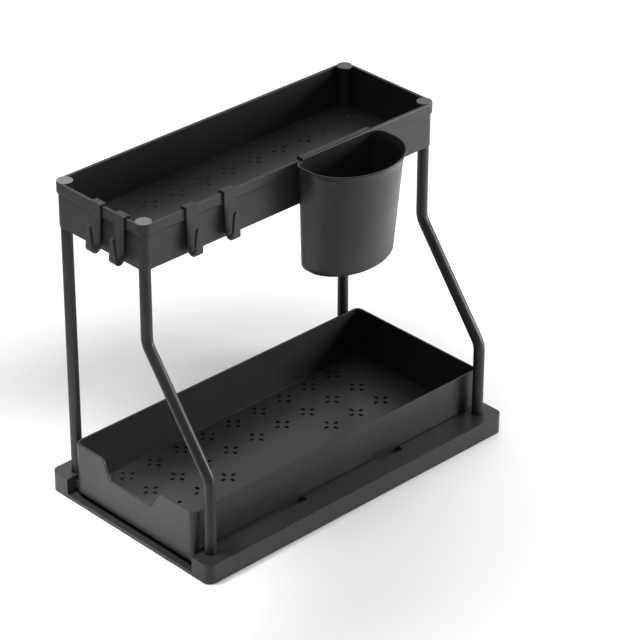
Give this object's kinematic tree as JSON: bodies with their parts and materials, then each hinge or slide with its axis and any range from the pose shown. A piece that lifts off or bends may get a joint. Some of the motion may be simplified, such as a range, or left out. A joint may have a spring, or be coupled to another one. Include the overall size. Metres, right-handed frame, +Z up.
{
  "type": "under sink organizer",
  "caption": "Two-tier organizer with a ring base, a pull-out drawer, bent tube legs, a narrow perforated upper tray, and a cup and hooks that hang on its rim.",
  "frame": {"origin": "on the floor under the middle of the overall box", "axes": "+Z up, drawer front faces -Y, the cup and the slanted legs are on +X"},
  "size_m": [0.236, 0.4054, 0.3476],
  "materials": {
    "moulded_plastic": "fine-textured charcoal black polypropylene",
    "tube_paint": "satin black powder coat on steel tube",
    "cap_plastic": "satin grey-black moulded cap",
    "foot_rubber": "matt soft rubber"
  },
  "bodies": {
    "frame": {"base_frame": "moulded_plastic", "front_left_leg": "tube_paint", "back_left_leg": "tube_paint", "front_right_leg": "tube_paint", "back_right_leg": "tube_paint", "upper_tray": "moulded_plastic", "front_left_cap": "cap_plastic", "back_left_cap": "cap_plastic", "front_right_cap": "cap_plastic", "back_right_cap": "cap_plastic", "front_left_foot": "foot_rubber", "back_left_foot": "foot_rubber", "front_right_foot": "foot_rubber", "back_right_foot": "foot_rubber"},
    "drawer": {"drawer": "moulded_plastic"},
    "cup": {"cup": "moulded_plastic"},
    "front_hook_left": {"front_hook_left": "moulded_plastic"},
    "front_hook_right": {"front_hook_right": "moulded_plastic"},
    "side_hook_front": {"side_hook_front": "moulded_plastic"},
    "side_hook_back": {"side_hook_back": "moulded_plastic"}
  },
  "joints": [
    {"name": "drawer_slide", "type": "slide", "parent": "frame", "child": "drawer", "axis": [0, -1, 0], "range_m": [0, 0.2715]},
    {"name": "cup_lift", "type": "slide", "parent": "frame", "child": "cup", "axis": [0, 0, 1], "range_m": [0, 0.02]},
    {"name": "front_hook_left_lift", "type": "slide", "parent": "frame", "child": "front_hook_left", "axis": [0, 0, 1], "range_m": [0, 0.02]},
    {"name": "front_hook_right_lift", "type": "slide", "parent": "frame", "child": "front_hook_right", "axis": [0, 0, 1], "range_m": [0, 0.02]},
    {"name": "side_hook_front_lift", "type": "slide", "parent": "frame", "child": "side_hook_front", "axis": [0, 0, 1], "range_m": [0, 0.02]},
    {"name": "side_hook_back_lift", "type": "slide", "parent": "frame", "child": "side_hook_back", "axis": [0, 0, 1], "range_m": [0, 0.02]}
  ]
}
